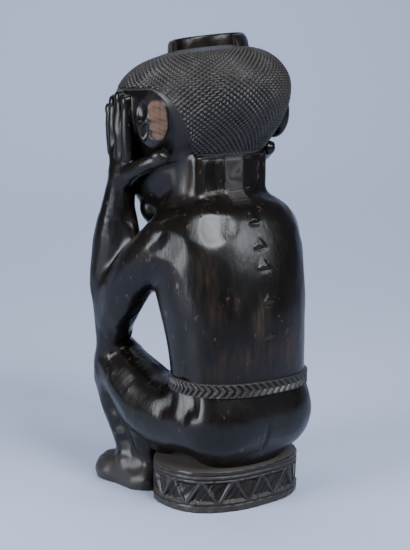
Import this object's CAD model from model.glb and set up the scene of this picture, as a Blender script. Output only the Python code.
import math

import bpy
import numpy as np
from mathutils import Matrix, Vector


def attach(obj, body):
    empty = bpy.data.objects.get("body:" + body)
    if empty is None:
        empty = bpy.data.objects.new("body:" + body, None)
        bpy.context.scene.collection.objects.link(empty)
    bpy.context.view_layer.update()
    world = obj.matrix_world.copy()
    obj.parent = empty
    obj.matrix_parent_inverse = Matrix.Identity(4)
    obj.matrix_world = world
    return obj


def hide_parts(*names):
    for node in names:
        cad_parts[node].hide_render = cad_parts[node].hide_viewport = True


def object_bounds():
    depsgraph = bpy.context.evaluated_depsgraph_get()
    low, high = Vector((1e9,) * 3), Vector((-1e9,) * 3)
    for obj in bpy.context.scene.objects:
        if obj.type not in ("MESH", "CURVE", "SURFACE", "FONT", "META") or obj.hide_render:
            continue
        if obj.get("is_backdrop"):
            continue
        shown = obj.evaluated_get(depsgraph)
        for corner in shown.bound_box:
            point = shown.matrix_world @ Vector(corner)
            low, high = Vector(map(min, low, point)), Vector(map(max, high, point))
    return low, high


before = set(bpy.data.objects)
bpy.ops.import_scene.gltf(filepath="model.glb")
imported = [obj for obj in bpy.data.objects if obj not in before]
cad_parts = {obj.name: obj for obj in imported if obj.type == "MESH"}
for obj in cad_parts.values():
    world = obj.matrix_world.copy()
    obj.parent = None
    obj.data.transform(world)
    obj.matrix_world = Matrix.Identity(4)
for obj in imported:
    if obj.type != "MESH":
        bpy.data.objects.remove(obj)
cad_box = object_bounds()

# The carved body is worked out in millimetres, +Z up, the figure facing -Y and its
# left side on +X, from the same named sizes as the solid, and made in metres.
MM = 0.001
NODE = "seated_figure"

STOOL_HALF_WIDTH = 43.5
STOOL_HALF_DEPTH = 33.0
STOOL_HEIGHT = 24.0
STOOL_SQUARENESS = 2.4
STOOL_DOME = 0.15
STOOL_COLUMNS = 576
STOOL_ZIGZAGS = 13
STOOL_BAND = (5.5, 17.7)

TRUNK = [
    (20, 11, 24, 16), (32, 12, 28, 21), (42, 13, 35, 27), (53, 12.5, 40.5, 29),
    (72, 11.5, 42, 27.2), (90, 10, 42.5, 29), (103, 7.8, 43.3, 31.2), (115, 5.8, 45, 32.6),
    (132, 2.5, 46.5, 33), (147, 0, 47.5, 31.5), (159, -2, 46, 29), (168, -4, 40, 26),
    (174, -6, 31, 21), (179, -7, 20, 14),
]
TRUNK_SQUARENESS = 2.3
NECK = [
    (155, -12, 28, 19), (168, -14, 29, 22.5), (178, -18, 29.3, 26.8),
    (190, -20.5, 29.5, 29.4), (207, -20.5, 31, 29.4),
]
NECK_SQUARENESS = 3.2
THIGH = [
    (21, 14, 50, 22), (26, -8, 49.5, 21), (29, -27, 51.5, 20.5), (31, -44, 61.5, 18),
    (31.5, -60, 72, 14.5),
]
SHIN = [
    (31, -63, 73, 13.5), (31, -65, 63, 13), (30.5, -62, 45, 11), (30, -56, 31, 9.5),
    (29.5, -52, 17, 8.5), (29.5, -50, 5, 9),
]
CALF = [(29.5, -52, 50, 8), (29, -44, 39, 9.5), (28.5, -39.5, 27, 8), (28.5, -38.5, 10, 7)]
UPPER_ARM = [
    (38, -4, 151, 15.5), (42, -18, 140, 14.5), (43, -32, 126.5, 13.5), (41.5, -45, 111, 12.5),
    (38, -57, 94, 9.5),
]
FOREARM = [
    (37.5, -60, 84, 9), (37, -58.5, 94, 10), (40, -57, 110, 10.8), (42, -55.5, 126, 11.4),
    (42.3, -52.5, 142, 11.2), (42, -49.5, 157, 10.4), (41.5, -45.5, 172, 9), (42, -42, 185, 8),
]
HEAD_CENTRE = (0, -22, 226.5)
BOW_COS, BOW_SIN = math.cos(math.radians(10)), math.sin(math.radians(10))
HAIR = [
    (-34, -6, 35.3, 32), (-30, -5.5, 37, 34.3), (-24, -4, 40.3, 39.5), (-17, -2.5, 43.6, 45.7),
    (-8, -1, 47, 51), (0, 0, 48, 53.5), (8, 1, 47.5, 52.6), (15.5, 2, 44, 48), (21, 3, 38.5, 42),
    (25, 4, 31, 34), (28, 5, 20, 22),
]
HAIR_SQUARENESS = 2.05
HAIR_RELIEF = 1.4
HAIR_COVER = 0.9
HAIR_COLUMNS = 480
# Height of a row of the lattice in columns, and points from one cut line to the next
HAIR_ROW_PITCH = 0.74
LATTICE = 6
HEAD_RADIUS = 50.5
HEAD_MIDDLE = np.array([0, -18, 226])
# How much further out the low hairline of the nape reaches on the right
NAPE_SHIFT = 8.0

# The hairline from the nape forwards past the ear: half-width of the head, height
HAIRLINE = [
    (0, 198.6), (24.2, 198.6), (25.8, 200.8), (28.4, 205), (31.4, 209.8), (35, 216.2),
    (38.1, 221.8), (41.8, 228.8), (44.2, 233.5), (46.2, 235.6), (60, 236.4),
]
TEMPLE_HEIGHT = 235.6
TEMPLE_FALL = 0.08

CREST_RIM_CENTRE = (0, -17.6, 263)
CREST_TILT = (4, 5, 0)
CREST_RADIUS = 22.8
CREST_COLUMNS = 192
CREST_WALL = 4.0
CREST_FLOOR = -12.5
CREST_FOOT = -17.0
CREST_STUB = -7.8
CREST_BREAK = (math.radians(-7), math.radians(102))
# Profile up the outside and down the inside of the wall: past that face, height
CREST_OUTSIDE = [
    (0.6, CREST_FOOT), (0.5, -13), (0.3, -10), (0.2, -7), (0, -5), (-0.3, -3.4), (-0.8, -2),
    (-1.5, -0.9), (-2.4, -0.2),
]
CREST_INSIDE = [
    (0.9, 0), (0.3, -0.5), (0, -1.4), (0, -4), (0, -7), (0, CREST_FLOOR + 3),
    (-1, CREST_FLOOR + 1), (-3, CREST_FLOOR),
]

BELT_HEIGHT = 71.6
BELT_TILT = (-1.4, -1.7, 0)
BELT_WIDTH = 8.0
BELT_RELIEF = 1.7
BELT_CHEVRONS = 58
POINTS_PER_CHEVRON = 12

# Raised wedges down the spine: height of the lower ledge, half-width and how crisp it is
SPINE_MARKS = [(163, 4.6, 0.7), (149.6, 5, 0.8), (138.2, 5, 0.75), (119, 4.8, 0.6), (99.5, 4, 0.45)]
SPINE_MARK_RISE = 6.0

# Broad places planed flat: a point of the skin, the facet's facing, depth and reach
PLANED = [
    ((48, 9, 147), (0.85, 0.49, 0.13), 1.6, 15), ((35, 17.5, 161), (0.48, 0.73, 0.48), 0.9, 10),
    ((27, 21.3, 160.5), (0.38, 0.79, 0.48), 0.9, 11), ((19, 23.6, 161.5), (0.27, 0.84, 0.47), 0.7, 9),
    ((42.8, 12, 64), (0.91, 0.34, 0.22), 1.7, 15), ((43.5, -4, 62.5), (0.89, 0.28, 0.33), 1.4, 13),
    ((41.5, -56, 49), (0.90, 0.38, 0.18), 0.9, 8), ((40, -55, 42), (0.88, 0.42, 0.15), 0.7, 7),
    ((38.1, -51, 33), (0.90, 0.38, 0.18), 0.8, 7), ((36.7, -48.1, 24), (0.88, 0.42, 0.16), 0.7, 8),
    ((36.8, -40.2, 14.9), (0.84, 0.42, 0.34), 0.9, 9),
]
CLEFT_X = 2.5

GRID_STEP = 0.75
GRID_LOW, GRID_HIGH = (0.0, -93.0, -3.0), (66.0, 51.0, 273.0)
BODY_TRIANGLES = 190000
SMOOTHING_ROUNDS = 13

# Value given to a field far from its form, and the ground plan that no column leaves
FAR = 60.0
WIDEST_LOW, WIDEST_HIGH = (-60, -80), (60, 60)
# Fineness of a column's table of sections, and how far it goes past the ends
LEVEL_STEP = 0.05
LEVEL_MARGIN = 12
# Value of a corner that fill_pinches fills
JUST_INSIDE = -0.02

# Heights and depths that bound the places where each group of forms is worked out
TOES_BELOW, TOES_AHEAD = 18, -60
ARMS_FROM = 70
HEAD_FROM = 140
FACE_AHEAD = -25

# Knife marks: pitch of the cuts, the deepest one and a number that scatters them
BROAD_CUTS = (13.0, 0.4, 7)
FINE_CUTS = (6.0, 0.1, 91)
DENTS = (7.0, 0.04, 31)

# Distance fields over arrays of points: negative inside, in millimetres


def join(a, b, k):
    h = np.maximum(k - np.abs(a - b), 0) / k
    return np.minimum(a, b) - h * h * (k * 0.25)


def carve(a, b, k):
    return -join(-a, b, k)


def hermite(a, b, m0, m1, t):
    """The smooth curve from a to b that leaves with slope m0 and arrives with slope m1."""
    rise = b - a
    return a + t * (m0 + t * (3 * rise - 2 * m0 - m1 + t * (m0 + m1 - 2 * rise)))


def smooth_row(rows, at):
    """Each column of the rows at the heights 'at', on one smooth curve."""
    table = np.array(rows, float)
    heights = table[:, 0]
    i = np.clip(np.searchsorted(heights, at, side="right") - 1, 0, len(heights) - 2)
    a, b = table[i], table[i + 1]
    before = table[np.maximum(i - 1, 0)]
    after = table[np.minimum(i + 2, len(heights) - 1)]
    span = (b[:, 0] - a[:, 0])[:, None]
    t = np.clip((at - a[:, 0])[:, None] / span, 0, 1)
    m0 = (b - before) / (b[:, :1] - before[:, :1]) * span
    m1 = (after - a) / (after[:, :1] - a[:, :1]) * span
    return hermite(a, b, m0, m1, t)


def column(rows, squareness):
    """An upright form whose oval sections follow the rows: height, centre, half-width, half-depth."""
    low, high = rows[0][0], rows[-1][0]
    levels = np.arange(low - LEVEL_MARGIN, high + LEVEL_MARGIN, LEVEL_STEP)
    run = 2 * LEVEL_STEP
    row, above = smooth_row(rows, levels), smooth_row(rows, levels + run)
    slope = np.hypot(above[:, 2] - row[:, 2], above[:, 1] - row[:, 1]) / run
    scale = np.minimum(row[:, 2], row[:, 3]) / np.hypot(1, slope)
    table = np.column_stack([row[:, 1:], scale]).astype(np.float32)

    def field(x, y, z):
        level = np.clip(((z - levels[0]) / LEVEL_STEP).astype(int), 0, len(levels) - 1)
        centre, a, b, s = table[level].T
        r = (np.abs(x / a) ** squareness + np.abs((y - centre) / b) ** squareness) ** (1 / squareness)
        side = (r - 1) * s
        end = np.maximum(low - z, z - high)
        return np.where((end > 0) & (side > 0), np.hypot(side, end), np.maximum(side, end))

    return local(field, (*WIDEST_LOW, low), (*WIDEST_HIGH, high))


def local(field, low, high, margin=14.0):
    """The field near its own box, and a large number elsewhere."""

    def near(x, y, z):
        inside = np.ones(x.shape, bool)
        for v, a, b in zip((x, y, z), low, high):
            inside &= (v > a - margin) & (v < b + margin)
        out = np.full(x.shape, FAR, np.float32)
        if inside.any():
            out[inside] = field(x[inside], y[inside], z[inside])
        return out

    return near


def turn_matrix(tilt):
    """Turn about Z, then Y, then X, as one matrix."""
    (cx, sx), (cy, sy), (cz, sz) = [(math.cos(t), math.sin(t)) for t in np.radians(tilt)]
    about_x = np.array([[1, 0, 0], [0, cx, -sx], [0, sx, cx]])
    about_y = np.array([[cy, 0, sy], [0, 1, 0], [-sy, 0, cy]])
    about_z = np.array([[cz, -sz, 0], [sz, cz, 0], [0, 0, 1]])
    return about_z @ about_y @ about_x


def egg(centre, radii, tilt=(0, 0, 0)):
    turn = turn_matrix(tilt).T
    reach = max(radii)

    def field(x, y, z):
        p = np.stack([x - centre[0], y - centre[1], z - centre[2]])
        p = (turn @ p.reshape(3, -1)).reshape(p.shape) if any(tilt) else p
        k0 = np.sqrt(sum((p[i] / radii[i]) ** 2 for i in range(3)))
        k1 = np.sqrt(sum((p[i] / radii[i] ** 2) ** 2 for i in range(3)))
        return np.where(k1 < 1e-6, -min(radii), k0 * (k0 - 1) / np.maximum(k1, 1e-6))

    return local(field, [c - reach for c in centre], [c + reach for c in centre])


def places(count, steps):
    """Segment, and share of it, at even steps along a row of points."""
    for s in range(steps + 1):
        at = s / steps * (count - 1)
        i = min(int(at), count - 2)
        yield i, at - i


def spline(points, steps):
    """Points along the chordal Catmull-Rom curve through the given ones."""
    p = np.array(points, float)
    ends = [2 * p[0] - p[1], *p, 2 * p[-1] - p[-2]]
    out = []
    for i, t in places(len(p), steps):
        a, b, c, d = ends[i:i + 4]
        t1, t2, t3 = [max(np.linalg.norm(v - u) ** 0.5, 1e-4) for u, v in ((a, b), (b, c), (c, d))]
        m1 = ((b - a) / t1 - (c - a) / (t1 + t2) + (c - b) / t2) * t2
        m2 = ((c - b) / t2 - (d - b) / (t2 + t3) + (d - c) / t3) * t2
        out.append(hermite(b, c, m1, m2, t))
    return np.array(out)


def radii_along(radii, steps):
    """Radii at even steps on the uniform Catmull-Rom curve through the given ones."""
    ends = [radii[0], *radii, radii[-1]]
    out = []
    for i, t in places(len(radii), steps):
        a, b, c, d = ends[i:i + 4]
        out.append(hermite(b, c, (c - a) / 2, (d - b) / 2, t))
    return out


def limb(points, steps=26):
    path = spline([p[:3] for p in points], steps)
    radii = radii_along([p[3] for p in points], steps)
    low = [min(q[i] - r for q, r in zip(path, radii)) for i in range(3)]
    high = [max(q[i] + r for q, r in zip(path, radii)) for i in range(3)]

    def field(x, y, z):
        nearest = np.full(x.shape, FAR, np.float32)
        for i in range(steps):
            (ax, ay, az), u = path[i], path[i + 1] - path[i]
            px, py, pz = x - ax, y - ay, z - az
            t = np.clip((px * u[0] + py * u[1] + pz * u[2]) / (u @ u), 0, 1)
            away = np.sqrt((px - t * u[0]) ** 2 + (py - t * u[1]) ** 2 + (pz - t * u[2]) ** 2)
            nearest = np.minimum(nearest, away - radii[i] - t * (radii[i + 1] - radii[i]))
        return nearest

    return local(field, low, high)


def unite(k, *fields):
    def field(x, y, z):
        d = fields[0](x, y, z)
        for other in fields[1:]:
            d = join(d, other(x, y, z), k)
        return d

    return field


trunk = unite(
    8,
    column(TRUNK, TRUNK_SQUARENESS),
    egg((19.5, 19, 50.5), (20.5, 19.5, 21.5)),
    egg((18, -24, 145), (18, 11, 14)),
    egg((0, -16, 91), (26, 14, 22)),
)
navel = egg((0, -31, 95), (4.5, 5, 4.5))

leg = unite(5, limb(THIGH), limb(SHIN), limb(CALF), egg((28, -22, 31), (9, 10, 7)))
shin_ridge = limb([(31, -74, 77, 4), (31, -75.5, 61, 3.4), (30.5, -71, 43, 3), (30, -63, 28, 3)])
ankle = unite(3, egg((37, -50, 12), (4, 5, 5.5)), egg((22.5, -50, 12), (4, 5, 5.5)))
foot = unite(
    7,
    egg((30, -39, 4), (11.5, 13, 11)),
    egg((30, -55, 4.5), (12, 19, 13)),
    egg((31, -66, 5), (13, 12, 9.5)),
)
TOE_GAPS = (25.1, 30.6, 35.4, 39.6)
TOE_ROUND = (-66, 5, 12, 9.5)

arm = unite(6, limb(UPPER_ARM), limb(FOREARM), egg((38.5, -42, 148), (7, 9, 17)))
palm = egg((42.5, -40, 194), (6, 11, 14))
thumb = limb([(42, -38, 185, 6), (43.5, -27, 190, 5), (42, -17, 194.2, 4.6), (38.7, -9.3, 198, 4.5)])
thumb_nail = egg((42, -9.6, 199), (2, 3.8, 2.6), (20, 0, 25))
FINGER_ROOTS = [(45, -31), (45.2, -38.5), (43.5, -46), (40.5, -52.5)]
FINGER_TIPS = [(47.2, -29.3, 229), (46, -36.8, 231.5), (43.6, -45.8, 228), (39.6, -54.6, 223)]
FINGER_THICKNESS = (3.8, 3.8, 3.8, 3.4)
fingers = []
for (fx, fy), (tx, ty, tz), thick in zip(FINGER_ROOTS, FINGER_TIPS, FINGER_THICKNESS):
    knuckle = ((fx + tx) / 2 + 0.6, (fy + ty) / 2, 214, thick)
    fingers.append(limb([(fx, fy, 198, thick + 0.2), knuckle, (tx, ty, tz, thick - 0.6)], 6))
nails = [egg((tx + 2.2, ty, tz - 1), (1.9, 2.5, 3.6)) for tx, ty, tz in FINGER_TIPS]

tendon = limb([(22, 1.2, 168, 3.4), (22.8, 2.4, 184, 3.3), (23, 2.5, 196, 3)], 6)
throat = egg((0, -38, 166), (31, 13.5, 18))
neck = unite(4, column(NECK, NECK_SQUARENESS), tendon, throat)


def to_head(y, z):
    """The head's own depth and height."""
    dy, dz = y - HEAD_CENTRE[1], z - HEAD_CENTRE[2]
    return dy * BOW_COS + dz * BOW_SIN, dz * BOW_COS - dy * BOW_SIN


def from_head(depth, height):
    y = HEAD_CENTRE[1] + depth * BOW_COS - height * BOW_SIN
    return y, HEAD_CENTRE[2] + height * BOW_COS + depth * BOW_SIN


def hairline(x, y):
    """Height of the hair's edge: its own curve behind the ear, nearly level over the temple."""
    across, height = np.array(HAIRLINE).T
    behind = np.interp(np.abs(x), across, height)
    forward = np.clip((-y - 7) / 3, 0, 1)
    front = TEMPLE_HEIGHT - TEMPLE_FALL * np.maximum(-12 - y, 0)
    return behind + (front - behind) * forward


hair_shape = column(HAIR, HAIR_SQUARENESS)
face_mass = unite(
    9,
    egg((0, -14, -12), (38, 37, 33)),
    egg((0, -19, -30), (33.5, 28, 26)),
    egg((0, -26, -46), (28, 19, 16.5)),
    egg((19, -31, -22), (13, 14.5, 11)),
    egg((24, -12, -38), (10, 18, 14)),
    egg((20, -24, -44), (11, 14, 12)),
)
brow = limb([(3, -50.5, -13, 2.6), (13, -50, -8.5, 2.6), (25, -44, -10, 2.2), (31, -38, -14, 1.8)], 8)
eye_hollow = egg((15, -50.5, -18.5), (10, 5.5, 6.5))
eye_lid = egg((15, -43.5, -19), (8.5, 6.2, 5))
eye_slit = limb([(7.5, -47.5, -20.2, 0.7), (15, -50, -20.8, 0.8), (22.5, -46.5, -20.2, 0.7)], 5)
nose = unite(
    3,
    limb([(0, -49.5, -12, 3), (0, -52, -22, 3.6), (0, -54.5, -32.5, 4.6)], 6),
    egg((5.4, -49.5, -33.5), (4.2, 5, 3.6)),
)
lips = unite(
    1.2,
    limb([(0, -49.5, -41.2, 2.5), (5.5, -48.5, -40.9, 2.3), (11, -44.5, -42.4, 1.4)], 5),
    limb([(0, -48.6, -45.8, 2.7), (5.5, -47.6, -45.4, 2.4), (10.5, -44.5, -43.6, 1.4)], 5),
)
chin = egg((0, -40.5, -54), (9, 8, 6.5))

ear_plate = egg((44, -10.8, 219), (6.5, 12.7, 15.5))
upper_hollow = egg((50.5, -13.8, 224.8), (4.4, 6, 7))
lower_hollow = egg((50.5, -10.6, 212.6), (4, 3.4, 6), (-30, 0, 0))
ear_hollows = unite(0.8, upper_hollow, lower_hollow)
BREAK_POINT = (47.8, -4.5)
BREAK_NORMAL = (math.cos(0.62), math.sin(0.62))

# Front edge of the wood left bare there: heights, and depth at each
BARE_EDGE = ((208, 210, 223, 235), (1.0, -4.8, -6.6, -9.6))


def past_the_break(x, y):
    """How far points lie past the plane in which the left ear broke."""
    return (x - BREAK_POINT[0]) * BREAK_NORMAL[0] + (y - BREAK_POINT[1]) * BREAK_NORMAL[1]


# Brown wear on the back: across, height, how far it reaches each way and its strength
BROWN_PLACES = [
    (36, 138, 9, 13, 0.45), (27, 121, 12, 13, 0.6), (6, 110, 7, 15, 1.0),
    (17, 89, 14, 9, 0.85), (-12, 91, 15, 10, 0.9),
]


def head_skin(x, y, z):
    """The skin of the head with its face, and the shape of the hair over it."""
    depth, height = to_head(y, z)
    cap = hair_shape(x, depth, height)
    skin = join(cap + HAIR_RELIEF, face_mass(x, depth, height), 5)
    front = depth < FACE_AHEAD
    xf, yf, zf, d = x[front], depth[front], height[front], skin[front]
    d = join(d, brow(xf, yf, zf), 4)
    d = carve(d, eye_hollow(xf, yf, zf), 4)
    d = join(d, eye_lid(xf, yf, zf), 1.2)
    d = carve(d, eye_slit(xf, yf, zf), 0.8)
    d = join(d, nose(xf, yf, zf), 3)
    d = join(d, lips(xf, yf, zf), 1.5)
    skin[front] = join(d, chin(xf, yf, zf), 5)
    return skin, cap


def toe_gaps(x, y, z):
    """Narrow curved cuts over the rounded front of the foot."""
    cy, cz, ry, rz = TOE_ROUND
    ring = np.hypot((y - cy) / ry, (z - cz) / rz)
    depth = np.where(y < cy, (0.88 - ring) * min(ry, rz), FAR)
    out = np.full(x.shape, FAR, np.float32)
    for gap in TOE_GAPS:
        out = np.minimum(out, np.hypot(x - gap, np.maximum(depth, 0)) - 0.7)
    return out


def under_the_hair(x, y, z):
    """Neck and head, cut back a little where the hair covers them."""
    skin, cap = head_skin(x, y, z)
    d = join(neck(x, y, z), skin, 2)
    return np.maximum(d, np.minimum(z - hairline(x, y), cap + HAIR_COVER))


def hand(x, y, z):
    d = palm(x, y, z)
    for finger, nail in zip(fingers, nails):
        d = join(d, join(finger(x, y, z), nail(x, y, z), 0.4), 1.2)
    return join(d, join(thumb(x, y, z), thumb_nail(x, y, z), 0.4), 1.6)


def both_sides(x, y, z):
    """The body where x >= 0, with the left ear broken and with it whole."""
    d = carve(trunk(x, y, z), navel(x, y, z), 2)
    d = join(d, join(leg(x, y, z), shin_ridge(x, y, z), 3), 6)
    d = join(d, join(foot(x, y, z), ankle(x, y, z), 2), 4)
    toes = (z < TOES_BELOW) & (y < TOES_AHEAD)
    d[toes] = carve(d[toes], toe_gaps(x[toes], y[toes], z[toes]), 0.8)
    top = z > HEAD_FROM
    xt, yt, zt = x[top], y[top], z[top]
    d[top] = join(d[top], under_the_hair(xt, yt, zt), 3)
    up = z > ARMS_FROM
    xu, yu, zu = x[up], y[up], z[up]
    softness = 4 - 2.4 * np.clip((zu - 160) / 20, 0, 1)
    d[up] = join(d[up], join(arm(xu, yu, zu), hand(xu, yu, zu), 4), softness)
    broken, whole = d, d.copy()
    ear = carve(ear_plate(xt, yt, zt), ear_hollows(xt, yt, zt), 1)
    ragged = 0.35 * np.sin(0.9 * zt) + 0.25 * np.sin(2.3 * zt + yt)
    whole[top] = join(d[top], ear, 1.5)
    broken[top] = join(d[top], np.maximum(ear, past_the_break(xt, yt) + ragged), 1.5)
    return np.maximum(broken, -z), np.maximum(whole, -z)


def body_at(points):
    """The body's field at points on either side."""
    x, y, z = points.T
    broken, whole = both_sides(np.abs(x), y, z)
    return np.where(x >= 0, broken, whole)


# Skin of a field, as a grid of samples and one point in each cell that it crosses


def sampled(low, high, step):
    """Values for x >= 0 on a grid, worked out block by block near the skin."""
    block = 8
    blocks = [math.ceil((b - a) / (block * step)) for a, b in zip(low, high)]
    axes = [(a + step * np.arange(n * block)).astype(np.float32) for a, n in zip(low, blocks)]
    shape = [len(a) for a in axes]
    broken = np.full(shape, FAR, np.float32)
    whole = np.full(shape, FAR, np.float32)
    middles = [a.reshape(-1, block).mean(axis=1) for a in axes]
    offsets = np.arange(block)
    gx, gy = np.meshgrid(middles[0], middles[1], indexing="ij")
    for k, middle in enumerate(middles[2]):
        centre, _ = both_sides(gx.ravel(), gy.ravel(), np.full(gx.size, middle, np.float32))
        centre = centre.reshape(gx.shape)
        near = np.abs(centre) < 2 * block * step
        sign = np.where(centre < 0, -FAR, FAR).repeat(block, 0).repeat(block, 1)[:, :, None]
        slab = slice(k * block, (k + 1) * block)
        broken[:, :, slab] = sign
        whole[:, :, slab] = sign
        i, j = np.nonzero(near)
        ii = (i[:, None] * block + offsets)[:, :, None, None]
        jj = (j[:, None] * block + offsets)[:, None, :, None]
        kk = (k * block + offsets)[None, None, None, :]
        at = tuple(v.ravel() for v in np.broadcast_arrays(ii, jj, kk))
        if len(i) > 0:
            broken[at], whole[at] = both_sides(*[axis[n] for axis, n in zip(axes, at)])
    return np.concatenate([whole[:0:-1], broken]), [-axes[0][-1], axes[1][0], axes[2][0]]


def fill_pinches(values):
    """A grid square whose inside corners lie crosswise gets one more corner filled."""
    while True:
        filled = 0
        for axis in range(3):
            v = np.moveaxis(values, axis, 0)
            inside = v < 0
            a, b = inside[:, :-1, :-1], inside[:, 1:, :-1]
            c, d = inside[:, 1:, 1:], inside[:, :-1, 1:]
            for i, j, k in np.argwhere((a == c) & (b == d) & (a != b)):
                square = [(i, j, k), (i, j + 1, k), (i, j + 1, k + 1), (i, j, k + 1)]
                outside = [q for q in square if v[q] >= 0]
                if outside:
                    v[min(outside, key=lambda q: v[q])] = JUST_INSIDE
                    filled += 1
        if filled == 0:
            return


def skin_of(values, low, step):
    inside = values < 0
    corners = [(c & 1, (c >> 1) & 1, c >> 2) for c in range(8)]
    size = [n - 1 for n in values.shape]
    count = np.zeros(size, np.uint8)
    for c in corners:
        count += inside[tuple(slice(o, o + n) for o, n in zip(c, size))]
    active = (count > 0) & (count < 8)
    cells = np.argwhere(active)
    at = [values[tuple((cells + c).T)] for c in corners]
    total = np.zeros(cells.shape)
    crossings = np.zeros(len(cells))
    for c in range(8):
        for axis in range(3):
            e = c | (1 << axis)
            if e == c:
                continue
            crossed = (at[c] < 0) != (at[e] < 0)
            t = np.where(crossed, at[c] / np.where(crossed, at[c] - at[e], 1), 0)
            total += crossed[:, None] * np.array(corners[c])
            total[:, axis] += t
            crossings += crossed
    points = np.array(low) + (cells + total / crossings[:, None]) * step
    number = np.full(size, -1, np.int32)
    number[active] = np.arange(len(cells))
    quads = []
    for axis in range(3):
        ins = np.moveaxis(inside, axis, 0)
        num = np.moveaxis(number, axis, 0)
        if axis == 1:
            ins, num = ins.swapaxes(1, 2), num.swapaxes(1, 2)
        here, there = ins[:-1, 1:-1, 1:-1], ins[1:, 1:-1, 1:-1]
        i, j, k = np.nonzero(here != there)
        around = [num[i, j + 1, k + 1], num[i, j, k + 1], num[i, j, k], num[i, j + 1, k]]
        quad = np.stack(around, axis=1)
        turned = ~here[i, j, k]
        quad[turned] = quad[turned][:, ::-1]
        quads.append(quad)
    return points, np.concatenate(quads)


def corner_normals(points, faces):
    """Unit normal at each point, from the faces around it."""
    a, b, c, d = [points[faces[:, i]] for i in (0, 1, 2, -1)]
    across = np.cross(c - a, d - b) if faces.shape[1] == 4 else np.cross(b - a, c - a)
    normals = np.zeros(points.shape)
    for i in range(faces.shape[1]):
        np.add.at(normals, faces[:, i], across)
    return normals / np.maximum(np.linalg.norm(normals, axis=1), 1e-9)[:, None]


SIDES = ((0, 1), (1, 2), (2, 3), (3, 0))


def settled(points, faces, rounds=2, most=0.4):
    """The points evened out along the skin and set on the true surface."""
    for _ in range(rounds):
        total = np.zeros(points.shape)
        count = np.zeros(len(points))
        for a, b in SIDES:
            np.add.at(total, faces[:, a], points[faces[:, b]])
            np.add.at(count, faces[:, a], 1)
        moved = total / np.maximum(count, 1)[:, None]
        normals = corner_normals(points, faces)
        shift = moved - points
        shift -= np.sum(shift * normals, axis=1)[:, None] * normals
        points = points + 0.5 * shift
        order = np.argsort(points[:, 2])
        error = np.zeros(len(points))
        for chunk in np.array_split(order, 40):
            error[chunk] = body_at(points[chunk].astype(np.float32))
        points = points - np.clip(error, -most, most)[:, None] * normals
    return points


# Marks of the knife: flat facets about as wide as a blade's stroke


def seeded(cells, salt):
    """Three numbers from 0 to 1 for each cell, always the same."""
    n = cells[..., 0] * 73856093 ^ cells[..., 1] * 19349663 ^ cells[..., 2] * 83492791 ^ salt
    n = (n ^ (n >> 13)) * 1274126177 & 0x7FFFFFFF
    return np.stack([(n >> s & 1023) / 1023 for s in (0, 10, 20)], axis=-1)


def nearest_seed(points, pitch, salt):
    """Distance to the nearest of the scattered seeds, in pitches, and that seed's own number."""
    p = points / pitch
    base = np.floor(p).astype(np.int64)
    best = np.full(len(p), 9.0)
    own = np.zeros(len(p), np.int64)
    for shift in np.ndindex(3, 3, 3):
        cell = base + shift - 1
        gap = np.linalg.norm(cell + seeded(cell, salt) - p, axis=1)
        number = (cell[:, 0] * 2048 + cell[:, 1]) * 2048 + cell[:, 2]
        own = np.where(gap < best, number, own)
        best = np.minimum(best, gap)
    return best, own


def dents(points, pitch, depth, salt):
    """Shallow round hollows around scattered seeds."""
    gap, own = nearest_seed(points, pitch, salt)
    return -depth * (0.5 + own % 7 / 6) * np.maximum(1 - (gap / 0.62) ** 2, 0)


def planing(points, normals, pitch, limit, salt):
    """Moves that lay the points around each scattered seed on one flat facet."""
    _, own = nearest_seed(points * (1, 1, 0.6), pitch, salt)
    turned = normals @ turn_matrix((20, 35, 50))
    side = np.argmax(np.abs(turned), axis=1)
    side = side * 2 + (turned[np.arange(len(side)), side] > 0)
    _, own = np.unique(own * 8 + side, return_inverse=True)
    own = own.reshape(-1)
    count = np.bincount(own)
    sums = [np.column_stack([np.bincount(own, v[:, i]) for i in range(3)]) for v in (points, normals)]
    centre, facing = sums[0] / count[:, None], sums[1]
    facing /= np.maximum(np.linalg.norm(facing, axis=1), 1e-9)[:, None]
    proud = np.sum((points - centre[own]) * facing[own], axis=1)
    return -np.clip(proud, -limit, limit)


def evened(values, faces, rounds):
    """One number at each point, averaged over and over with its neighbours'."""
    for _ in range(rounds):
        total = np.zeros(len(values))
        count = np.zeros(len(values))
        for a, b in SIDES:
            total += np.bincount(faces[:, a], values[faces[:, b]], len(values))
            count += np.bincount(faces[:, a], minlength=len(values))
        values = 0.4 * values + 0.6 * total / np.maximum(count, 1)
    return values


def planed_flat(points):
    """How far the broad flat places cut the skin back, and how much of each point is theirs."""
    cut, share = np.zeros(len(points)), np.zeros(len(points))
    for middle, facing, depth, reach in PLANED:
        n = np.array(facing) / np.linalg.norm(facing)
        away = points - middle
        over = np.clip(away @ n + depth, 0, 2.2 * depth)
        ragged = 0.08 * reach * np.sin(0.5 * points[:, 0] + 0.7 * points[:, 1] + 0.4 * points[:, 2])
        near = ramp(np.linalg.norm(away, axis=1) + ragged, reach, 0.45 * reach)
        cut = np.maximum(cut, 0.9 * over * near)
        share = np.maximum(share, near)
    return -cut, share


def ramp(value, start, end):
    """0 up to the start and 1 from the end on, with a smooth slope between."""
    t = np.clip((value - start) / (end - start), 0, 1)
    return t * t * (3 - 2 * t)


def bump(distance, width):
    """1 at the middle and 0 from width outwards."""
    t = np.clip(1 - np.abs(distance) / width, 0, 1)
    return t * t * (3 - 2 * t)


# Meshes and pieces


def placed(name, data):
    """A new object with this data, in the scene."""
    thing = bpy.data.objects.new(name, data)
    bpy.context.scene.collection.objects.link(thing)
    return thing


def smooth_mesh(name, points, faces):
    mesh = bpy.data.meshes.new(name)
    mesh.from_pydata(points, [], faces)
    mesh.validate()
    mesh.polygons.foreach_set("use_smooth", [True] * len(mesh.polygons))
    return mesh


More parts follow.
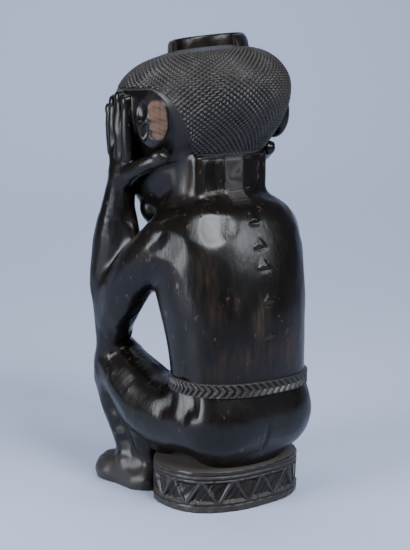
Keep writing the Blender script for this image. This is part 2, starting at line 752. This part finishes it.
def mesh_piece(name, points_mm, faces, raised=None):
    """A carved piece. 'raised' says how high each point stands in the carving, 0 to 1."""
    points = (np.asarray(points_mm) * MM).tolist()
    mesh = smooth_mesh(name, points, [list(map(int, f)) for f in faces])
    if raised is not None:
        layer = mesh.attributes.new("raised", "FLOAT", "POINT")
        layer.data.foreach_set("value", np.clip(raised, 0, 1).astype(np.float32))
    return placed(name, mesh)


def apply_modifiers(piece):
    graph = bpy.context.evaluated_depsgraph_get()
    mesh = bpy.data.meshes.new_from_object(piece.evaluated_get(graph))
    piece.modifiers.clear()
    old = piece.data
    piece.data = mesh
    bpy.data.meshes.remove(old)


def bearings_of(columns):
    """Even bearings once around."""
    return np.arange(columns) * 2 * math.pi / columns


def grid_faces(rows, columns):
    """Quads of a closed ring grid: 'rows' rings of 'columns' points."""
    i, j = np.indices((rows - 1, columns))
    a, b = i * columns + j, i * columns + (j + 1) % columns
    return np.stack([a, b, b + columns, a + columns], axis=-1).reshape(-1, 4)


def capped(rings, first_centre, last_centre, flipped=False):
    """Points and faces of a stack of rings, closed by a centre point at each end."""
    count, columns = rings.shape[:2]
    points = np.vstack([rings.reshape(-1, 3), first_centre, last_centre])
    faces = [list(f) for f in grid_faces(count, columns)]
    centre, last = count * columns, (count - 1) * columns
    for c in range(columns):
        n = (c + 1) % columns
        faces += [[centre, n, c], [centre + 1, last + c, last + n]]
    return points, [f[::-1] for f in faces] if flipped else faces


def oval_reach(angle, squareness):
    """How far the rim of a unit oval of this squareness lies from its centre."""
    c, s = np.cos(angle), np.sin(angle)
    return (np.abs(c) ** squareness + np.abs(s) ** squareness) ** (-1 / squareness)


def carved_body():
    values, start = sampled(GRID_LOW, GRID_HIGH, GRID_STEP)
    fill_pinches(values)
    points, quads = skin_of(values, start, GRID_STEP)
    points = settled(points, quads)
    normals = corner_normals(points, quads)
    points = points + carving(points, normals, quads)[:, None] * normals
    points[:, 2] = np.maximum(points[:, 2], 0)
    piece = mesh_piece("figure_body", points, quads)
    triangles = 2 * len(quads)
    if triangles > BODY_TRIANGLES:
        thin = piece.modifiers.new("thin", "DECIMATE")
        thin.ratio = BODY_TRIANGLES / triangles
        thin.use_collapse_triangulate = True
        apply_modifiers(piece)
    return piece


def spine_marks(x, y, z):
    """Wedges that rise downwards to a crisp ledge with a scoop below it."""
    out = np.zeros(len(x))
    for low, half, strength in SPINE_MARKS:
        up = z - low
        narrow = half * (1 - np.clip(up / SPINE_MARK_RISE, 0, 1))
        wedge = np.clip((narrow - np.abs(x - 0.6)) / 1.4, 0, 1) * (up >= 0)
        scoop = np.clip(1 - ((x - 0.6) / half) ** 2, 0, 1) * ((up < 0) & (up > -3.2))
        out += strength * 0.95 * wedge * (1 - 0.8 * np.clip(up / SPINE_MARK_RISE, 0, 1))
        out -= strength * 0.9 * scoop * (1 + np.clip(up, -3.2, 0) / 3.2)
    return out * (y > 0)


def carving(points, normals, faces):
    """How far the knife marks move each point of the body outwards."""
    x, y, z = points.T
    shoulder = bump(np.sqrt((np.abs(x) - 38) ** 2 + (y + 2) ** 2 + (z - 150) ** 2), 45)
    limbs = np.where((y < -30) | (z < 22), 1.0, 0.0)
    face = ramp(z, 158, 166) * ramp(y, -18, -26) * ramp(np.abs(x), 38, 33)
    weight = np.clip(0.25 + 0.7 * shoulder + 0.6 * limbs, 0, 1) * (1 - face)
    moves = planing(points, normals, *BROAD_CUTS) * weight
    moves += planing(points, normals, *FINE_CUTS) * np.clip(weight, 0, 0.7)
    moves += dents(points * (1, 1, 0.5), *DENTS) * (1 - face)
    flats, share = planed_flat(points)
    moves = evened(moves * (1 - 0.75 * share) + flats, faces, SMOOTHING_ROUNDS)
    moves += spine_marks(x, y, z)
    cleft = ramp(y, 18, 26) * ramp(z, 31, 36) * ramp(z, 52, 45)
    moves -= 1.1 * cleft * bump(x - CLEFT_X - 0.12 * (z - 40), 1.9)
    moves += 0.5 * ramp(x, 8.6, 7.6) * ramp(x, -5.2, -4.2) * ramp(y, 2, 5) * ramp(z, 174, 178)
    nape = ramp(y, -8, 0) * bump(z - hairline(x, y) + 1.3, 1.3) * ramp(np.abs(x), 24, 20)
    return moves - 0.5 * nape


def hair_piece():
    """Hair cap with a diamond lattice: mesh edges run along the cut lines."""
    columns = HAIR_COLUMNS
    around = bearings_of(columns)
    heights = np.linspace(HAIR[0][0], HAIR[-1][0], 400)
    rows = smooth_row(HAIR, heights)
    girth = (rows[:, 2] + rows[:, 3]) / 2
    along = np.concatenate([[0], np.cumsum(np.hypot(np.diff(heights), np.diff(girth)))])
    step = HAIR_ROW_PITCH * 2 * math.pi * HEAD_RADIUS / columns
    count = int(along[-1] / step)
    even = along[-1] - step * np.arange(count, -1, -1)
    h = np.interp(even, along, heights)
    row = smooth_row(HAIR, h)
    reach = oval_reach(around, HAIR_SQUARENESS)
    x = row[:, 2:3] * np.cos(around) * reach
    depth = row[:, 1:2] + row[:, 3:4] * np.sin(around) * reach
    y, z = from_head(depth, h[:, None])
    lower_on_the_right = np.where(x < 0, NAPE_SHIFT * ramp(-x, 42, 34), 0)
    above = z - hairline(np.maximum(np.abs(x) - lower_on_the_right, 0), y)
    first = np.argmax(above > 0, axis=0)
    points = np.stack([x, y, z], axis=-1)
    grid = grid_faces(len(h), columns)
    outward = corner_normals(points.reshape(-1, 3), grid).reshape(points.shape)
    i, j = np.indices(x.shape)
    to_edge = even[:, None] - even[first][None, :]
    to_top = (even[-1] - even)[:, None]
    half = LATTICE // 2
    across, athwart = np.abs((i + j) % LATTICE - half), np.abs((i - j) % LATTICE - half)
    rising = 0.8 + 0.35 * np.sin(x * 0.31 + z * 0.17) * np.sin(y * 0.23 - z * 0.29)
    falling = 0.85 - 0.35 * np.sin(x * 0.27 - z * 0.12) * np.sin(y * 0.31 + z * 0.19)
    slope = np.array([0.0, 0.0, 0.5, 1.0])
    grooves = np.maximum(slope[across] * rising, slope[athwart] * falling)
    lattice = 0.4 - 0.08 * (across + athwart) - 1.05 * grooves
    strokes = np.where(j % LATTICE == 0, -0.6, np.where(j % LATTICE == half, 0.25, 0.0))
    crown = ramp(to_top, 13.0, 10.5)
    relief = lattice * (1 - crown) + strokes * crown
    border = ramp(to_edge, 1.0, 1.9)
    relief = relief * border - 0.6 * bump(to_edge - 1.4, 0.75)
    raised = 0.6 + 0.9 * relief
    points = points + relief[..., None] * outward
    for c in range(columns):
        k = first[c]
        if k > 0:
            lower, upper = above[k - 1, c], above[k, c]
            t = -lower / (upper - lower)
            points[:k, c] = points[k - 1, c] * (1 - t) + points[k, c] * t
    rim = points[0]
    ledge = rim - 0.35 * outward[first, np.arange(columns)]
    inner = HEAD_MIDDLE + (rim - HEAD_MIDDLE) * (0.86, 0.86, 1)
    rings = np.concatenate([inner[None], ledge[None], points])
    raised = np.concatenate([np.zeros((1, columns)), np.full((1, columns), 0.7), raised])
    raised = np.append(raised.ravel(), (0.0, 0.5))
    flat, faces = capped(rings, inner.mean(axis=0), points[-1].mean(axis=0))
    return tidy_piece("hair", flat, faces, raised)


def tidy_piece(name, points, faces, raised=None):
    """A piece with the points that lie together merged and the empty faces gone."""
    keys = np.round(np.asarray(points) * 2000).astype(np.int64)
    _, index, inverse = np.unique(keys, axis=0, return_index=True, return_inverse=True)
    inverse = inverse.reshape(-1)
    kept = []
    for face in faces:
        ring = [int(inverse[v]) for v in face]
        ring = [v for n, v in enumerate(ring) if v != ring[n - 1]]
        if 3 <= len(set(ring)) == len(ring):
            kept.append(ring)
    return mesh_piece(name, np.asarray(points)[index], kept, None if raised is None else raised[index])


def crest_piece():
    """Cup-shaped crest swept around its own axis. The wall is cut down along the break."""
    inner = CREST_RADIUS - CREST_WALL
    profile = [(CREST_RADIUS + r, h) for r, h in CREST_OUTSIDE]
    profile += [(inner + r, h) for r, h in CREST_INSIDE]
    profile.append((inner * 0.5, CREST_FLOOR - 0.2))
    start, end = CREST_BREAK
    even = np.linspace(start, start + 2 * math.pi, CREST_COLUMNS + 1)[:-1]
    beside = (start + 0.004, end - 0.004, end + 0.004, start + 2 * math.pi - 0.004)
    bearings = np.array(sorted({*even, *beside}))
    lost = (bearings > start + 0.002) & (bearings < end)
    wave = np.sin(5 * bearings) + 0.6 * np.sin(13 * bearings + 1) + 0.4 * np.sin(31 * bearings)
    top = np.where(lost, CREST_STUB + 0.5 * wave, 5.0)
    rings = []
    for n, (r, h) in enumerate(profile):
        radius = r + (0.12 * np.sin(9 * bearings + n) + 0.08 * np.sin(23 * bearings + 2 * n))
        plan = [radius * np.sin(bearings), radius * np.cos(bearings)]
        rings.append(np.stack([*plan, np.minimum(h, top)], axis=-1))
    floor, foot = (0, 0, CREST_FLOOR - 0.4), (0, 0, CREST_FOOT)
    flat, faces = capped(np.array(rings), foot, floor, flipped=True)
    turn = turn_matrix(CREST_TILT)
    return tidy_piece("crest", flat @ turn.T + CREST_RIM_CENTRE, faces)


def chip(along, up, half, low, high, point_up):
    """Depth of a triangular chip: deepest along its base, rising to its point."""
    t = (up - low) / (high - low)
    t = t if point_up else 1 - t
    inside = np.minimum((1 - t) * half - np.abs(along), np.minimum(t, 1 - t) * 6)
    return np.clip(inside / 0.7, 0, 1) * (0.6 + 1.2 * (1 - t))


def stool_piece():
    """Oval stool: two grooves under its rim, one above its foot and a band of chips between."""
    columns, zigzags = STOOL_COLUMNS, STOOL_ZIGZAGS
    around = bearings_of(columns)
    wall = np.concatenate([[0, 0.35], np.arange(0.8, 23.3, 0.45), [23.5, 23.85, STOOL_HEIGHT]])
    reach = oval_reach(around, STOOL_SQUARENESS)
    edge = np.stack([STOOL_HALF_WIDTH * np.cos(around), STOOL_HALF_DEPTH * np.sin(around)], -1)
    edge = edge * reach[:, None]
    ahead = np.roll(edge, -1, 0) - np.roll(edge, 1, 0)
    out = np.stack([ahead[:, 1], -ahead[:, 0]], -1) / np.linalg.norm(ahead, axis=1)[:, None]
    length = np.concatenate([[0], np.cumsum(np.linalg.norm(np.diff(edge, axis=0), axis=1))])
    perimeter = length[-1] + np.linalg.norm(edge[0] - edge[-1])
    low, high = STOOL_BAND
    pitch = perimeter / zigzags
    slope = (pitch / 2) / (high - low)
    rings, raised = [], []
    for z in wall:
        sink = 0.85 * bump(z - 21.4, 0.85) + 0.85 * bump(z - 18.9, 0.85) + 0.7 * bump(z - 4.2, 0.8)
        sink = sink + 0.5 * ramp(z, 23.3, 24.2) + 0.6 * ramp(z, 0.8, -0.3) + 0 * around
        for n in range(2 * zigzags + 1):
            along = length - (n + 0.5) * pitch / 2
            if low < z < high:
                sink = sink + chip(along, z, pitch / 2 - 1.7, low, high, n % 2 == 0)
        if low - 0.8 < z < high + 0.8:
            for n in range(zigzags + 1):
                across = (length - n * pitch - slope * (z - low)) / math.hypot(1, slope)
                sink = sink + 0.55 * bump(np.abs(across) - 1.75, 0.55)
        raised.append(1 - sink / 1.3)
        sink = sink + 0.15 * np.sin(length * 0.21 + z * 0.4) + 0.1 * np.sin(length * 0.83 - z)
        rings.append(np.column_stack([edge - sink[:, None] * out, np.full(columns, z)]))

    def inset_ring(inset, z):
        return np.column_stack([edge * (1 - inset / 36), np.full(columns, z)])

    rings += [inset_ring(inset, STOOL_HEIGHT) for inset in (0.9, 2.2)]
    rings += [inset_ring(inset, STOOL_HEIGHT + STOOL_DOME) for inset in (5, 9, 14, 20)]
    under = [inset_ring(inset, 0.0) for inset in (12, 4, 1.2)]
    rings = np.array(under + rings)
    raised = [np.zeros(columns)] * len(under) + raised
    raised += [np.full(columns, 0.8)] * (len(rings) - len(raised))
    raised = np.append(np.concatenate(raised), (0.0, 0.8))
    flat, faces = capped(rings, (0, 0, 0), (0, 0, STOOL_HEIGHT + STOOL_DOME))
    return tidy_piece("stool", flat, faces, raised)


def belt_piece():
    """Raised band with two rows of slanting cuts that meet as chevrons."""
    columns = BELT_CHEVRONS * POINTS_PER_CHEVRON
    around = bearings_of(columns)
    centre = smooth_row(TRUNK, np.array([BELT_HEIGHT]))[0][1]
    half = BELT_WIDTH / 2
    levels = np.linspace(-half, half, 19)
    rings, raised = [], []
    for level in levels:
        level_centre, width, depth = smooth_row(TRUNK, np.array([BELT_HEIGHT + level]))[0][1:]
        phase = (np.arange(columns) / POINTS_PER_CHEVRON + 0.9 * np.abs(level) / half) % 1
        cut = bump(phase - 0.5, 0.34) * (np.abs(level) < half - 0.7)
        proud = BELT_RELIEF * (1 - 0.75 * ramp(abs(level), half - 0.5, half)) - 1.15 * cut
        raised.append(1 - cut)
        spread = oval_reach(around, TRUNK_SQUARENESS)
        rings.append(np.stack([
            (width + proud) * np.cos(around) * spread,
            level_centre + (depth + proud) * np.sin(around) * spread,
            np.full(columns, level)], axis=-1))
    shrink = np.array([0.9, 0.9, 1.0])
    middle = np.array([0, centre, 0])
    rings = [middle + (rings[0] - middle) * shrink] + rings + [middle + (rings[-1] - middle) * shrink]
    rings = np.array(rings)
    raised = np.concatenate([np.zeros(columns), *raised, np.zeros(columns)])
    flat = rings.reshape(-1, 3) - middle
    flat = flat @ turn_matrix(BELT_TILT).T + (0, centre, BELT_HEIGHT)
    faces = [list(f) for f in grid_faces(len(rings), columns)]
    last = (len(rings) - 1) * columns
    faces += [[last + c, last + (c + 1) % columns, (c + 1) % columns, c] for c in range(columns)]
    return tidy_piece("belt", flat, faces, raised)


# The wood: black polished patina, worn brown where hands and dust rubbed it


def patinated_wood():
    material = bpy.data.materials.new("patinated_wood_fine")
    material.use_nodes = True
    nodes, links = material.node_tree.nodes, material.node_tree.links
    shader = nodes["Principled BSDF"]
    place = nodes.new("ShaderNodeTexCoord").outputs["Object"]

    def feed(socket, value):
        """Another node's output, or a constant of one number or of three for a colour."""
        if isinstance(value, tuple):
            socket.default_value = (*value, 1)
        elif isinstance(value, (int, float)):
            socket.default_value = value
        else:
            links.new(value, socket)

    def noise(scale, detail, rough, stretch):
        stretched = nodes.new("ShaderNodeMapping")
        stretched.inputs["Scale"].default_value = stretch
        feed(stretched.inputs["Vector"], place)
        n = nodes.new("ShaderNodeTexNoise")
        feed(n.inputs["Vector"], stretched.outputs["Vector"])
        for name, value in (("Scale", scale), ("Detail", detail), ("Roughness", rough)):
            feed(n.inputs[name], value)
        return n.outputs["Fac"]

    def steps(value, *stops):
        r = nodes.new("ShaderNodeValToRGB")
        while len(r.color_ramp.elements) < len(stops):
            r.color_ramp.elements.new(0.5)
        for element, (at, colour) in zip(r.color_ramp.elements, stops):
            element.position = at
            element.color = (*colour, 1) if isinstance(colour, tuple) else (colour, colour, colour, 1)
        links.new(value, r.inputs["Fac"])
        return r.outputs["Color"]

    def maths(kind, a, b):
        m = nodes.new("ShaderNodeMath")
        m.operation = kind
        feed(m.inputs[0], a)
        feed(m.inputs[1], b)
        return m.outputs["Value"]

    def mixed(factor, a, b):
        m = nodes.new("ShaderNodeMix")
        m.data_type = "RGBA"
        for name, value in (("Factor", factor), ("A", a), ("B", b)):
            feed(m.inputs[name], value)
        return m.outputs["Result"]

    wear = nodes.new("ShaderNodeAttribute")
    wear.attribute_name = "wear"
    split = nodes.new("ShaderNodeSeparateColor")
    links.new(wear.outputs["Color"], split.inputs["Color"])
    brown_at, raw_at, dust_at = split.outputs["Red"], split.outputs["Green"], split.outputs["Blue"]

    blotch = noise(38, 5, 0.62, (1, 1, 0.5))
    grain = noise(420, 3, 0.6, (1, 1, 0.09))
    fine = noise(1500, 2, 0.5, (1, 1, 0.3))
    patina = steps(blotch, (0.3, (0.0024, 0.0021, 0.0019)), (0.7, (0.0054, 0.0044, 0.0036)))
    brown = steps(grain, (0.3, (0.011, 0.0065, 0.0042)), (0.72, (0.058, 0.033, 0.0195)))
    raw = steps(grain, (0.3, (0.050, 0.027, 0.018)), (0.7, (0.125, 0.07, 0.047)))
    worn = maths("MULTIPLY", brown_at, steps(noise(105, 6, 0.7, (1, 1, 0.22)), (0.4, 0.0), (0.6, 1.0)))
    nicks = steps(noise(260, 4, 0.6, (1, 1, 0.55)), (0.64, 0.0), (0.685, 1.0))
    colour = mixed(worn, patina, brown)
    colour = mixed(maths("MULTIPLY", nicks, 0.6), colour, (0.085, 0.05, 0.031))
    colour = mixed(dust_at, colour, (0.062, 0.056, 0.052))
    colour = mixed(raw_at, colour, raw)
    links.new(colour, shader.inputs["Base Color"])

    gloss = steps(noise(60, 4, 0.6, (1, 1, 0.35)), (0.25, 0.22), (0.75, 0.34))
    for share, dull in ((worn, 0.5), (dust_at, 0.62), (raw_at, 0.78)):
        gloss = mixed(share, gloss, (dull, dull, dull))
    links.new(gloss, shader.inputs["Roughness"])
    shader.inputs["Specular IOR Level"].default_value = 0.31

    relief = maths("ADD", maths("MULTIPLY", grain, 0.6), maths("MULTIPLY", fine, 0.25))
    relief = maths("ADD", relief, maths("MULTIPLY", noise(130, 4, 0.6, (1, 1, 0.4)), 1.2))
    bump_node = nodes.new("ShaderNodeBump")
    bump_node.inputs["Strength"].default_value = 0.42
    bump_node.inputs["Distance"].default_value = 0.00035
    links.new(relief, bump_node.inputs["Height"])
    links.new(bump_node.outputs["Normal"], shader.inputs["Normal"])
    return material


def wear_of(name, points, normals, raised):
    """Brown wear, bare wood and dull dust at each point, from 0 to 1."""
    x, y, z = points.T
    _, ny, nz = normals.T
    brown, raw, dust = np.zeros((3, len(points)))
    if name == "figure_body":
        back = ramp(ny, 0.2, 0.6)
        for wx, wz, rx, rz, strength in BROWN_PLACES:
            place = bump(np.hypot((x - wx) / rx, (z - wz) / rz), 1.5)
            brown = np.maximum(brown, back * strength * place)
        brown = np.maximum(brown, 0.3 * back * bump(z - 82, 9))
        brown = np.maximum(brown, 0.07)
        # Bare wood where the left ear broke and on the outer side of the left little finger
        ear = (x > 40) & (np.abs(y + 8) < 14) & (z > 202) & (z < 236)
        past = past_the_break(x, y)
        facing = normals[:, 0] * BREAK_NORMAL[0] + normals[:, 1] * BREAK_NORMAL[1]
        edge = np.interp(z, *BARE_EDGE) + 0.5 * np.sin(1.3 * z)
        raw = ear * ramp(past, -0.9, -0.4) * ramp(facing, 0.1, 0.4) * ramp(y - edge, -0.4, 0.4)
        tip = (x > 34) & (y < -52) & (z > 207) & (z < 226)
        raw = np.maximum(raw, tip * ramp(-ny, 0.1, 0.35) * 0.9)
        # A brown panel and a dusty strip on the nape, then dust on the feet
        neck = (y > -12) * ramp(z, 170, 177)
        panel = ramp(x, 8.5, 9.5) * ramp(x, 28.5, 27) * ramp(z, 199, 198)
        strip = ramp(x, 8.5, 7.5) * ramp(x, -5, -4) * ramp(z, 199, 198)
        brown = np.maximum(brown, 0.45 * neck * panel)
        dust = neck * (0.8 * strip * (0.65 + 0.35 * np.sin(4.2 * z)) + 0.12 * ramp(x, 27, 29))
        dust = np.maximum(dust, 0.4 * ramp(z, 22, 10) * ramp(y, -26, -34))
    elif name == "stool":
        brown = 0.2 + 0.7 * ramp(z, 4.5, 2)
        dust = 0.02 + 0.32 * raised ** 3 * ramp(z, 24, 22) + 0.95 * ramp(nz, 0.5, 0.9)
        raw = 0.12 * ramp(nz, 0.5, 0.9)
    elif name == "hair":
        brown += 0.15
        dust = 0.75 * raised ** 1.5
    elif name == "crest":
        brown = 0.3 + 0.6 * ramp(x, 5, 20)
    elif name == "belt":
        brown += 0.2
        dust = 0.4 * raised ** 2
    return np.column_stack([brown, raw, dust, np.ones(len(points))])


def finish_piece(piece, material):
    """Wear as a colour attribute, the material, and the piece's place in the part."""
    mesh = piece.data
    count = len(mesh.vertices)
    points, normals = np.empty((2, 3 * count), np.float32)
    mesh.vertices.foreach_get("co", points)
    mesh.vertices.foreach_get("normal", normals)
    raised = np.zeros(count, np.float32)
    carved = mesh.attributes.get("raised")
    if carved:
        carved.data.foreach_get("value", raised)
        mesh.attributes.remove(carved)
    wear = wear_of(piece.name, points.reshape(-1, 3) / MM, normals.reshape(-1, 3), raised)
    layer = mesh.color_attributes.new("wear", "FLOAT_COLOR", "POINT")
    layer.data.foreach_set("color", np.clip(wear, 0, 1).astype(np.float32).ravel())
    mesh.materials.append(material)
    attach(piece, "root")
    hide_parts(NODE)


wood = patinated_wood()
for make in (carved_body, hair_piece, crest_piece, stool_piece, belt_piece):
    finish_piece(make(), wood)

# Stage: a pale floor that curves up behind, soft boxes and the camera


FLOOR_FRONT, FLOOR_BACK = -3.0, 1.2
BEND = 0.8
BACKDROP_HEIGHT = 4.0
HALF_WIDTH = 4.0
PAPER = (0.447, 0.502, 0.665, 1)
LAMP_COLOUR = (0.88, 0.93, 1.0)
ROOM_COLOUR = (0.80, 0.86, 1.0, 1)
ROOM_STRENGTH = 0.06


def sweep():
    """Floor and backdrop in one curved sheet."""
    turns = np.linspace(0.15, 1.57, 12)
    rows = [(FLOOR_FRONT, 0.0), (FLOOR_BACK, 0.0)]
    rows += [(FLOOR_BACK + BEND * math.sin(a), BEND - BEND * math.cos(a)) for a in turns]
    rows.append((FLOOR_BACK + BEND, BACKDROP_HEIGHT))
    points = [(side * HALF_WIDTH, d, z) for d, z in rows for side in (-1, 1)]
    faces = [(2 * i, 2 * i + 1, 2 * i + 3, 2 * i + 2) for i in range(len(rows) - 1)]
    mesh = smooth_mesh("sweep", points, faces)
    paper = bpy.data.materials.new("pale_paper")
    paper.use_nodes = True
    shader = paper.node_tree.nodes["Principled BSDF"]
    shader.inputs["Base Color"].default_value = PAPER
    shader.inputs["Roughness"].default_value = 0.9
    mesh.materials.append(paper)
    return placed("sweep", mesh)


CAMERA_TURN = math.radians(39)
CAMERA_RISE = math.radians(11)
CAMERA_DISTANCE = 0.95
# Focal length and height of the photograph, both in its pixels
FOCAL_PIXELS = 1640
PHOTO_PIXELS = 550
TARGET = Vector((0, -0.019, 0.126))
away = Vector((
    math.sin(CAMERA_TURN) * math.cos(CAMERA_RISE),
    math.cos(CAMERA_TURN) * math.cos(CAMERA_RISE),
    math.sin(CAMERA_RISE),
))

floor = sweep()
floor.rotation_euler[2] = math.atan2(-away.y, -away.x) - math.pi / 2
floor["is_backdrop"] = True

lens = bpy.data.cameras.new("view")
lens.sensor_fit = "VERTICAL"
lens.sensor_height = 36
lens.lens = lens.sensor_height * FOCAL_PIXELS / PHOTO_PIXELS
lens.clip_start = 0.05
camera = placed("view", lens)
camera.location = TARGET + CAMERA_DISTANCE * away
camera.rotation_euler = (-away).to_track_quat("-Z", "Y").to_euler()
bpy.context.scene.camera = camera


def soft_box(name, bearing, height, distance, size, power, spread, behind=0.0):
    """Area light at degrees right of the camera and above the floor, aimed at the figure
    or at a place that far behind it."""
    across, rise = math.radians(bearing), math.radians(height)
    ahead = Vector((away.x, away.y, 0)).normalized()
    right = Vector((-ahead.y, ahead.x, 0))
    towards = math.cos(rise) * (math.cos(across) * ahead + math.sin(across) * right)
    light = bpy.data.lights.new(name, "AREA")
    light.shape = "RECTANGLE"
    light.size, light.size_y = size
    light.energy = power
    light.color = LAMP_COLOUR
    light.spread = math.radians(spread)
    box = placed(name, light)
    box.location = TARGET + distance * (towards + Vector((0, 0, math.sin(rise))))
    aim = TARGET - behind * ahead
    box.rotation_euler = (aim - box.location).to_track_quat("-Z", "Y").to_euler()


soft_box("key", 32, 43, 1.0, (0.38, 0.38), 3.5, 100)
soft_box("left", -54, 14, 0.85, (0.5, 0.58), 5.0, 110)
soft_box("right", 69, 26, 1.0, (0.46, 0.3), 1.7, 110)
soft_box("top", -163, 61, 2.05, (1.6, 1.6), 27, 130, 1.8)

world = bpy.data.worlds.new("studio")
world.use_nodes = True
background = world.node_tree.nodes["Background"]
background.inputs["Color"].default_value = ROOM_COLOUR
background.inputs["Strength"].default_value = ROOM_STRENGTH
bpy.context.scene.world = world

visual_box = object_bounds()
boxes = {"cad": cad_box, "visual": visual_box}
{k: [[float(v) for v in corner] for corner in b] for k, b in boxes.items()}
